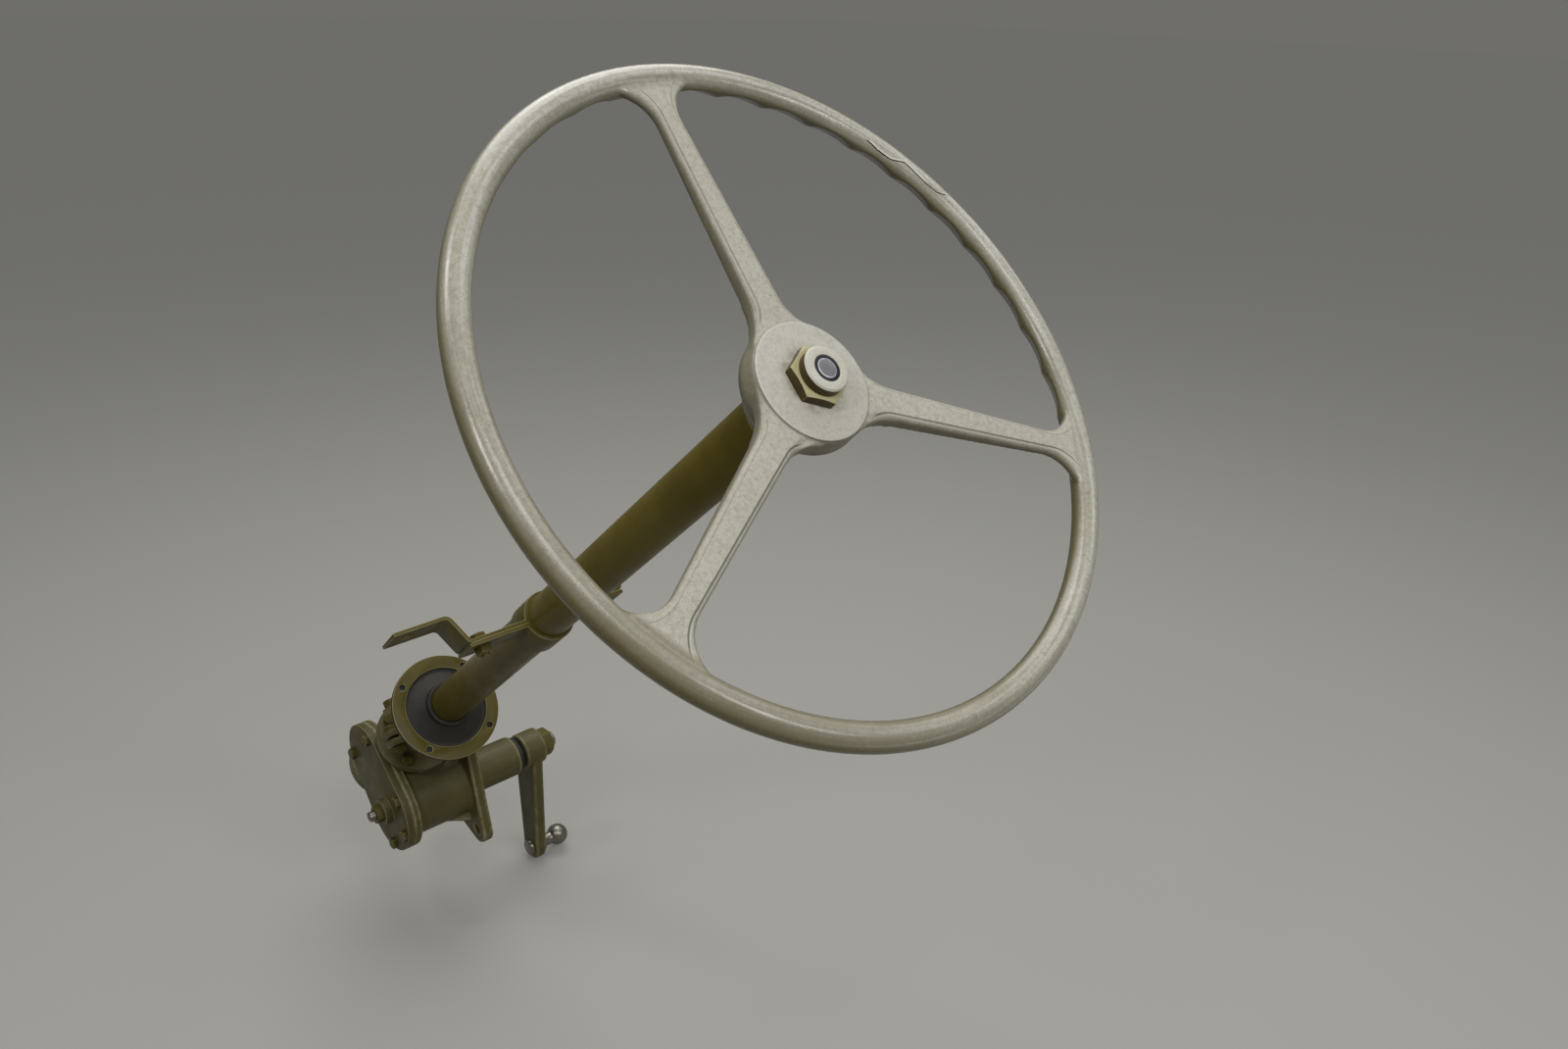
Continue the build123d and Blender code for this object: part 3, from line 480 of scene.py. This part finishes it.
def spoke_line(finish, turn, first, second):
    """Painted shade in the thin groove inside one spoke's edges, and a painted highlight on the bead outside
    it, with a strength for each side.
    """
    cosine, sine = math.cos(math.radians(turn)), math.sin(math.radians(turn))
    outwards = finish.math("ADD", finish.times(finish.right, cosine), finish.times(finish.up, sine))
    across = finish.math("SUBTRACT", finish.times(finish.up, cosine), finish.times(finish.right, sine))
    half = finish.ramp(outwards, SPOKE_START, SPOKE_END, HALF_AT_HUB - LINE_INSET, HALF_AT_RIM - LINE_INSET)

    # At both ends the line turns off in a quarter of a circle, inwards at the hub, outwards at the rim
    for flare, start, way in (
        (HUB_FLARE + LINE_INSET, HUB_LINE_TURN, -1), (RIM_FLARE + LINE_INSET, RIM_LINE_TURN, 1),
    ):
        gone = finish.ramp(finish.times(outwards, way), start * way, start * way + flare, 0.0, flare)
        rest = finish.math("SQRT", finish.math("SUBTRACT", flare ** 2, finish.times(gone, gone)))
        half = finish.math("ADD", half, finish.math("SUBTRACT", flare, rest))
    away = finish.math("SUBTRACT", finish.math("ABSOLUTE", across), half)
    line = finish.level(away, 0.0, 0.3 * MM, 0.45 * MM)
    bead = finish.level(away, 1.3 * MM, 0.25 * MM, 0.5 * MM)
    past_hub = finish.ramp(outwards, 41 * MM, 46 * MM)
    before_rim = finish.ramp(outwards, 197 * MM, 204 * MM, 1.0, 0.0)
    strength = finish.times(past_hub, before_rim, finish.ramp(across, -2 * MM, 2 * MM, first, second))
    return finish.times(line, strength), finish.times(bead, strength)


def spoke_lines(finish, body):
    """The body with painted shade in the lines and painted highlights on the beads of its spokes, and how
    strongly the lines show.
    """
    lines = beads = 0.0
    for turn, strengths in zip(SPOKE_TURNS, LINE_STRENGTHS):
        line, bead = spoke_line(finish, turn, *strengths)
        lines = finish.math("MAXIMUM", lines, line)
        beads = finish.math("MAXIMUM", beads, bead)
    # Painted highlight on the beads and painted shade in the lines, only on the faces that look up
    on_top = finish.ramp(finish.below, 0.3, 0.55, 1.0, 0.0)
    lines = finish.times(lines, on_top)
    body = finish.over(body, rgb(178, 175, 164), beads, on_top, 0.45)
    return finish.over(body, rgb(70, 65, 50), lines, 0.75), lines


def rim_crack(finish, body):
    """The body with the dark crack and its chipped light side, and where the crack is open."""
    first, last = CRACK[0][0], CRACK[-1][0]
    span = finish.ramp(finish.turn, math.radians(first), math.radians(last))
    route = [((turn - first) / (last - first), section / 180) for turn, section in CRACK]
    path = finish.times(finish.curve(span, route), math.pi)
    away = finish.times(finish.math("SUBTRACT", finish.section, path), TUBE_RADIUS)
    after_start = finish.math("GREATER_THAN", span, 0.004)
    before_end = finish.math("LESS_THAN", span, 0.996)
    inside = finish.times(after_start, before_end, finish.on_rim)
    crack = finish.times(finish.level(away, 0.0, 0.24 * MM, 0.3 * MM), inside)
    chipped = finish.times(finish.level(away, -1.1 * MM, 0.5 * MM, 0.35 * MM), inside)
    body = finish.over(body, rgb(204, 200, 188), chipped, finish.level(span, 0.6, 0.32, 0.08), 0.85)
    return finish.over(body, rgb(24, 22, 16), crack), crack


def moulding():
    """Moulding in faded grey patches, with painted light on its tops and olive-brown painted shade on its
    sides and underside, and with specks, streaks, lines and a crack.
    """
    finish = WheelFinish("faded_moulding_with_painted_light_and_shade")
    body = faded_body(finish)
    body = streaks_with_painted_light_and_shade(finish, body)
    body = dirt(finish, body)
    body = hub_marks_with_painted_light_and_shade(finish, body)
    body, lines = spoke_lines(finish, body)
    body, crack = rim_crack(finish, body)
    finish.colour(body)
    rough = finish.ramp(finish.noise(70, 5, 0.6), 0.3, 0.7, 0.17, 0.29)
    finish.roughness(finish.math("ADD", rough, finish.ramp(finish.on_rim, 0.0, 1.0, 0.25, 0.0)))
    finish.shader.inputs["Specular IOR Level"].default_value = 0.45
    sunk = finish.math("MAXIMUM", finish.times(lines, 0.5), crack)
    grain = finish.bump(finish.noise(600, 6, 0.7), 0.3 * MM, 0.28)
    finish.bump(finish.math("SUBTRACT", 1.0, sunk), 0.6 * MM, 0.8, grain)
    return finish


# Steering wheel

def hub_disc(finish):
    """The crisp raised disc in the middle of the wheel, bored for the shaft."""
    middle = (0, 0, DISC_TOP - DISC_THICKNESS / 2)
    bpy.ops.mesh.primitive_cylinder_add(
        vertices=180, radius=DISC_RADIUS, depth=DISC_THICKNESS, location=middle)
    disc = bpy.context.active_object
    disc.name = "hub_disc"
    bpy.ops.object.mode_set(mode="EDIT")
    bpy.ops.mesh.select_mode(type="FACE")
    bpy.ops.mesh.select_all(action="DESELECT")
    bpy.ops.object.mode_set(mode="OBJECT")
    for polygon in disc.data.polygons:
        polygon.select = abs(polygon.normal.z) > 0.5
    bpy.ops.object.mode_set(mode="EDIT")
    bpy.ops.mesh.inset(thickness=DISC_RADIUS - SHAFT_HOLE, use_individual=True)
    bpy.ops.mesh.bridge_edge_loops()
    bpy.ops.mesh.select_all(action="DESELECT")
    bpy.ops.object.mode_set(mode="OBJECT")
    nearly = 0.1 * MM
    for edge in disc.data.edges:
        ends = [disc.data.vertices[index].co for index in edge.vertices]
        edge.select = all(
            end.z > DISC_TOP - nearly and math.hypot(end.x, end.y) > DISC_RADIUS - nearly for end in ends)
    bpy.ops.object.mode_set(mode="EDIT")
    bpy.ops.mesh.select_mode(type="EDGE")
    bpy.ops.mesh.bevel(offset=DISC_EDGE, segments=5)
    bpy.ops.object.mode_set(mode="OBJECT")
    settle(disc, WHEEL)
    smooth(disc, 40)
    float_attribute(disc, "below", np.zeros(len(disc.data.vertices)))
    disc.data.materials.append(finish.material)
    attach(disc, "wheel")


def hub_flare(turn):
    """Wedge under the disc whose two hollow sides run from the hub out into one spoke."""
    spoke = WHEEL @ Matrix.Rotation(math.radians(turn), 4, "Z")
    across = HALF_AT_HUB + BLEND_RADIUS
    outwards = math.sqrt((HUB_RADIUS + BLEND_RADIUS) ** 2 - across ** 2)

    # A cylinder with three sides is a triangle, which is fitted to the spoke's length and width
    bpy.ops.mesh.primitive_cylinder_add(vertices=3, radius=1, depth=BLEND_TOP - BLEND_BOTTOM)
    wedge = bpy.context.active_object
    triangle_length = 1.5
    reach = outwards / triangle_length
    spread = across / math.sin(math.radians(60))
    middle = (BLEND_TOP + BLEND_BOTTOM) / 2
    fitted = Matrix(((0, -reach, 0, reach), (spread, 0, 0, 0), (0, 0, 1, middle), (0, 0, 0, 1)))
    settle(wedge, spoke @ fitted)
    for side in (-1, 1):
        hollow = spoke @ Matrix.Translation((outwards, side * across, 0))
        cut_round(wedge, BLEND_RADIUS, 40 * MM, hollow, 128)
    return wedge


def press_grips(piece):
    """Presses the finger hollows into the rim's inner lower side, at the pitch that the photo shows."""
    places = vertex_values(piece, "co")
    right, up, height = in_wheel_axes(places).T
    from_axis = np.hypot(right, up)
    off_rim = from_axis - RIM_RADIUS

    # The turn runs from -180 to 180 degrees, so the left stretch ends at 180 and lacks its last 3 hollows
    turn = np.degrees(np.arctan2(up, right))
    inwards = -off_rim * math.cos(GRIP_LEAN) - height * math.sin(GRIP_LEAN)
    outwards = np.stack([right, up], axis=1) / from_axis[:, None]
    way = -math.cos(GRIP_LEAN) * (outwards[:, :1] * np.array(RIGHT) + outwards[:, 1:] * np.array(UP_WHEEL))
    way = way - math.sin(GRIP_LEAN) * np.array(UP_COLUMN)
    for middle in GRIP_MIDDLES:
        step = (turn - middle) / GRIP_PITCH + GRIP_COUNT / 2
        hollow = GRIP_DEPTH * (1 - np.abs(2 * (step % 1) - 1) ** GRIP_ROUNDNESS)
        deeper = inwards - (TUBE_RADIUS - hollow)
        pressed = (step > 0) & (step < GRIP_COUNT) & (deeper > 0) & (off_rim > -TUBE_RADIUS * 1.1)
        places[pressed] -= way[pressed] * deeper[pressed, None]
    piece.data.vertices.foreach_set("co", places.ravel())
    piece.data.update()


def steering_wheel(finish):
    """The moulded wheel: the solid's skin with a plain rim and the hub's flares, evened and softened."""
    flares = [hub_flare(turn) for turn in SPOKE_TURNS]
    piece = node_copy("steering_wheel", "moulded_wheel")

    # The solid's own disc gives way to the crisp one
    cut_depth = 8 * MM
    cut_bottom = -0.8 * MM
    disc_place = WHEEL @ Matrix.Translation((0, 0, cut_depth / 2 + cut_bottom))
    cut_round(piece, DISC_RADIUS + 0.2 * MM, cut_depth, disc_place, 120)

    # The plain rim fills the solid's own finger hollows
    bpy.ops.mesh.primitive_torus_add(
        major_radius=RIM_RADIUS, minor_radius=TUBE_RADIUS, major_segments=360, minor_segments=64)
    plain_rim = bpy.context.active_object
    settle(plain_rim, WHEEL)
    only(piece)
    for part in (*flares, plain_rim):
        part.select_set(True)
    bpy.ops.object.join()
    apply(piece, "REMESH", mode="VOXEL", voxel_size=WHEEL_VOXEL, use_smooth_shade=True)
    press_grips(piece)
    from_axis = np.hypot(*in_wheel_axes(vertex_values(piece, "co"))[:, :2].T)
    yielding = piece.vertex_groups.new(name="yielding")
    for lowest, highest, weight in YIELDING:
        ring = np.flatnonzero((from_axis >= lowest) & (from_axis < highest))
        yielding.add(ring.tolist(), weight, "REPLACE")
    apply(piece, "SMOOTH", factor=0.5, iterations=WHEEL_ROUNDS, vertex_group="yielding")
    # How far each face turns away from looking up the column, which the moulding's painted shade follows
    above = vertex_values(piece, "normal") @ np.array(UP_COLUMN)
    float_attribute(piece, "below", 0.5 - 0.5 * above)
    for polygon in piece.data.polygons:
        polygon.use_smooth = True
    piece.data.materials.append(finish.material)
    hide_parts("steering_wheel")
    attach(piece, "wheel")


# Pieces that keep the solid's form

def bevelled(node, name, finish, body, width=0.5, angle=32, edge=None):
    """A machined or pressed piece, its sharp edges rounded and, where edge is given, that material on the
    rounded edges: rubbed bare paint on most pieces, painted highlight on the button, both on the nut.
    """
    piece = node_copy(node, name)
    bpy.ops.object.mode_set(mode="EDIT")
    bpy.ops.mesh.select_all(action="SELECT")
    bpy.ops.mesh.dissolve_limited(angle_limit=math.radians(0.6))
    bpy.ops.object.mode_set(mode="OBJECT")
    piece.data.materials.append(finish.material)
    if edge is not None:
        piece.data.materials.append(edge.material)
    apply(
        piece, "BEVEL", width=width * MM, segments=2, limit_method="ANGLE",
        angle_limit=math.radians(angle), harden_normals=False, material=0 if edge is None else 1,
    )
    smooth(piece, 40)
    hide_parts(node)
    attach(piece, body)
    return piece


def cast(node, name, finish, body, voxel=1.6, rounds=6):
    """A casting or forging: the solid's skin made even and softened at its edges."""
    piece = node_copy(node, name)
    apply(piece, "REMESH", mode="VOXEL", voxel_size=voxel * MM, use_smooth_shade=True)
    apply(piece, "SMOOTH", factor=0.5, iterations=rounds)
    edge_attribute(piece)
    piece.data.materials.append(finish.material)
    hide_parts(node)
    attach(piece, body)


def lit_and_rubbed_tops(piece, finish, heights, radii=(0.0, 1.0)):
    """Gives the faces that look up the column, within a range of heights and radii, a lighter material of
    their own: painted light on these tops, on the nut partly also rubbed bare paint.
    """
    piece.data.materials.append(finish.material)
    for polygon in piece.data.polygons:
        from_centre = polygon.center - WHEEL_CENTRE
        height = from_centre.dot(UP_COLUMN)
        radius = (from_centre - height * UP_COLUMN).length
        inside = heights[0] < height < heights[1] and radii[0] < radius < radii[1]
        if inside and polygon.normal.dot(UP_COLUMN) > 0.4:
            polygon.material_index = len(piece.data.materials) - 1


wheel_paint = moulding()
column_paint = painted("column_olive", rgb(84, 73, 20), rgb(96, 85, 33), rgb(50, 42, 14), 0.34, shine=0.15)
clamp_paint = painted("clamp_olive", rgb(70, 62, 22), rgb(88, 79, 34), rgb(40, 34, 12), 0.42, shine=0.2)
clamp_edge = painted("clamp_edge", rgb(150, 144, 104), rgb(120, 112, 70), rgb(80, 72, 40), 0.4)
cast_paint = painted(
    "cast_olive", rgb(72, 66, 32), rgb(88, 82, 46), rgb(38, 34, 16), fine=500, worn=rgb(134, 128, 94))
cast_edge = painted("cast_edge", rgb(140, 134, 100), rgb(104, 98, 58), rgb(60, 54, 30), fine=500)
# Painted shade: the nut's sides darker than its tops
nut_side = painted("nut_side_shaded_olive", rgb(54, 42, 14), rgb(80, 67, 28), rgb(26, 18, 6), 0.36, shine=0.25)
# Painted light on the nut's tops, partly rubbed bare paint
nut_hexagon = painted("nut_hexagon_worn_and_lit", rgb(150, 141, 98), rgb(172, 164, 126), rgb(84, 70, 36), 0.4)
nut_collar = painted("nut_collar_bare_and_lit", rgb(190, 189, 181), rgb(172, 168, 150), rgb(116, 104, 70), 0.4)
# Rubbed bare edges of the nut, partly painted highlight
nut_edge = painted("nut_edge_bare_and_highlit", rgb(214, 210, 190), rgb(190, 183, 150), rgb(130, 116, 76), 0.32)
rubber = painted("seal_rubber_black", rgb(34, 33, 30), rgb(48, 46, 40), rgb(18, 18, 16), 0.6)
bush_black = painted("horn_bush_black", rgb(26, 26, 34), rgb(38, 38, 46), rgb(12, 12, 16), 0.4)
steel = painted("oiled_steel", rgb(110, 106, 98), rgb(140, 136, 126), rgb(60, 52, 40), 0.35, metallic=0.9)
button_face = painted(
    "button_grey", rgb(106, 104, 108), rgb(132, 130, 133), rgb(62, 60, 64), 0.4, fine=1600, metallic=0.2)
# Painted highlight on the button's rim and rounded edges
button_edge_highlight = painted(
    "button_edge_highlight", rgb(188, 188, 192), rgb(160, 160, 166), rgb(110, 108, 114), 0.3, metallic=0.2)
bronze = painted("bearing_bronze", rgb(130, 108, 60), rgb(150, 128, 80), rgb(60, 45, 20), 0.45, metallic=0.7)

# Heights over the rim's middle at which the nut's hexagon, and its collar with the button, look up and are
# painted lighter
HEXAGON_HEIGHTS = (0.0, 10 * MM)
COLLAR_HEIGHTS = (10 * MM, 20 * MM)
BUTTON_EDGE_RADII = (5.4 * MM, 8 * MM)

steering_wheel(wheel_paint)
hub_disc(wheel_paint)
nut = bevelled("wheel_nut", "worn_wheel_nut", nut_side, "wheel", 0.45, edge=nut_edge)
# The nut's hexagon and collar tops: painted light, partly rubbed bare paint
lit_and_rubbed_tops(nut, nut_hexagon, HEXAGON_HEIGHTS)
lit_and_rubbed_tops(nut, nut_collar, COLLAR_HEIGHTS)
bevelled("horn_bush", "horn_bush_ring", bush_black, "wheel", 0.3)
button = bevelled("horn_button", "horn_button_cap", button_face, "wheel", edge=button_edge_highlight)
# The button's rim that looks up: painted highlight
lit_and_rubbed_tops(button, button_edge_highlight, COLLAR_HEIGHTS, BUTTON_EDGE_RADII)
bevelled("steering_shaft", "inner_shaft", steel, "wheel", 0.3)
bevelled("column_jacket", "column_tube", column_paint, "housing", 0.4, edge=clamp_edge)
bevelled("upper_bearing", "jacket_bearing", bronze, "housing", 0.3)
for node, name, slot, width in (
    ("clamp_upper_strap", "upper_strap", "clamp_paint", 0.6),
    ("clamp_lower_strap", "lower_strap", "clamp_paint", 0.6),
    ("clamp_bolts", "strap_bolts", "bolt_paint", 0.35),
    ("toe_ring", "toe_board_ring", "ring_paint", 0.5),
    ("side_cover_bolts", "side_fixings", "bolt_paint", 0.35),
    ("upper_cover_bolts", "upper_fixings", "bolt_paint", 0.35),
    ("end_cover_bolts", "end_fixings", "bolt_paint", 0.35),
    ("socket_bolt", "socket_fixing", "bolt_paint", 0.35),
    ("lock_nut", "cover_lock_nut", "bolt_paint", 0.4),
    ("filler_plug", "oil_plug", "bolt_paint", 0.4),
):
    bevelled(node, name, clamp_paint, "housing", width, edge=clamp_edge)
bevelled("toe_seal", "toe_board_rubber", rubber, "housing", 0.8)
cast("steering_box", "box_casting", cast_paint, "housing")
for node in ("side_cover", "upper_cover", "end_cover"):
    bevelled(node, "box_" + node, cast_paint, "housing", 1.0, edge=cast_edge)
bevelled("adjusting_screw", "cover_screw", steel, "housing", 0.3)
bevelled("shaft_seal", "trunnion_seal", rubber, "housing", 0.4)
bevelled("lever_shaft", "cross_shaft", steel, "lever", 0.4)
cast("pitman_arm", "drop_arm", cast_paint, "lever", voxel=1.2, rounds=5)
bevelled("pitman_nut", "arm_nut", clamp_paint, "lever", edge=clamp_edge)
bevelled("ball_stud", "arm_ball", steel, "lever", 0.3)


# Stage: grey floor and backdrop, soft lamps and the photograph's view

def plain_where_seen(nodes, links, lit, plain):
    """Shader that is plain where it is seen, straight or in a reflection, and lit as usual for the rest."""
    rays = nodes.new("ShaderNodeLightPath")
    seen = rays.outputs["Is Camera Ray"]
    for kind in ("Is Glossy Ray", "Is Transmission Ray"):
        either = nodes.new("ShaderNodeMath")
        either.operation = "MAXIMUM"
        links.new(seen, either.inputs[0])
        links.new(rays.outputs[kind], either.inputs[1])
        seen = either.outputs[0]
    mixer = nodes.new("ShaderNodeMixShader")
    links.new(seen, mixer.inputs[0])
    links.new(lit, mixer.inputs[1])
    links.new(plain, mixer.inputs[2])
    return mixer.outputs[0]


def grey_floor():
    """Grey floor that keeps the shadow, a little below the lowest piece."""
    floor_drop = 4 * MM
    floor_size = 60
    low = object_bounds()[0][2]
    bpy.ops.mesh.primitive_plane_add(size=floor_size, location=(0, 0, low - floor_drop))
    floor = bpy.context.active_object
    floor.name = "studio_floor"
    surface = bpy.data.materials.new("studio_grey")
    surface.use_nodes = True
    nodes, links = surface.node_tree.nodes, surface.node_tree.links
    matt = nodes["Principled BSDF"]
    matt.inputs["Base Color"].default_value = (0.26, 0.255, 0.235, 1)
    matt.inputs["Roughness"].default_value = 0.95
    glow = nodes.new("ShaderNodeEmission")
    glow.inputs["Color"].default_value = (0.09, 0.088, 0.08, 1)
    both = nodes.new("ShaderNodeAddShader")
    links.new(matt.outputs[0], both.inputs[0])
    links.new(glow.outputs[0], both.inputs[1])
    dim = nodes.new("ShaderNodeBsdfDiffuse")
    dim.inputs["Color"].default_value = (0.22, 0.21, 0.17, 1)
    shown = plain_where_seen(nodes, links, dim.outputs[0], both.outputs[0])
    links.new(shown, nodes["Material Output"].inputs[0])
    floor.data.materials.append(surface)


def backdrop():
    """World that lights like a dull sky and is seen as an even grey."""
    world = bpy.data.worlds.new("studio_world")
    bpy.context.scene.world = world
    world.use_nodes = True
    nodes, links = world.node_tree.nodes, world.node_tree.links
    sky = nodes["Background"]
    sky.inputs["Color"].default_value = (0.80, 0.82, 0.85, 1)
    sky.inputs["Strength"].default_value = 0.27
    grey = nodes.new("ShaderNodeBackground")
    grey.inputs["Color"].default_value = (0.158, 0.156, 0.145, 1)
    grey.inputs["Strength"].default_value = 1.0
    shown = plain_where_seen(nodes, links, sky.outputs[0], grey.outputs[0])
    links.new(shown, nodes["World Output"].inputs[0])


def lamp(name, way, distance, size, power):
    """Round lamp at a distance from the wheel's centre, which it looks at."""
    light = bpy.data.lights.new(name, "AREA")
    light.shape = "DISK"
    light.size = size
    light.energy = power
    obj = bpy.data.objects.new(name, light)
    bpy.context.scene.collection.objects.link(obj)
    obj.location = WHEEL_CENTRE + Vector(way) * distance
    obj.rotation_euler = (WHEEL_CENTRE - obj.location).to_track_quat("-Z", "Y").to_euler()


def camera():
    """The photograph's view, from its eye and with its focal length."""
    data = bpy.data.cameras.new("photo_view")
    data.sensor_width = SENSOR_WIDTH
    data.lens = FOCAL_PIXELS / PHOTO_WIDTH * SENSOR_WIDTH
    data.clip_start = 0.01
    obj = bpy.data.objects.new("photo_view", data)
    bpy.context.scene.collection.objects.link(obj)
    view_up = VIEW_RIGHT.cross(VIEW_AHEAD)
    obj.matrix_world = axes_at(WHEEL_CENTRE + EYE_FROM_WHEEL, VIEW_RIGHT, view_up, -VIEW_AHEAD)
    bpy.context.scene.camera = obj


grey_floor()
backdrop()
for name, way, distance, size, power in (
    ("front", (0.30, 0.52, 0.80), 1.9, 1.8, 26),
    ("right_opening", (0.85, 0.0, 0.53), 1.9, 0.9, 2.5),
    ("behind", (-0.12, -0.66, 0.74), 2.0, 1.0, 18),
    ("left_opening", (-0.77, -0.20, 0.60), 1.7, 0.3, 7),
    ("overhead", (-0.47, 0.40, 0.79), 1.8, 0.35, 5),
    ("low_behind", (0.28, -0.88, 0.38), 1.8, 0.35, 7),
):
    lamp(name, way, distance, size, power)
camera()

bpy.context.scene.view_settings.view_transform = "Standard"
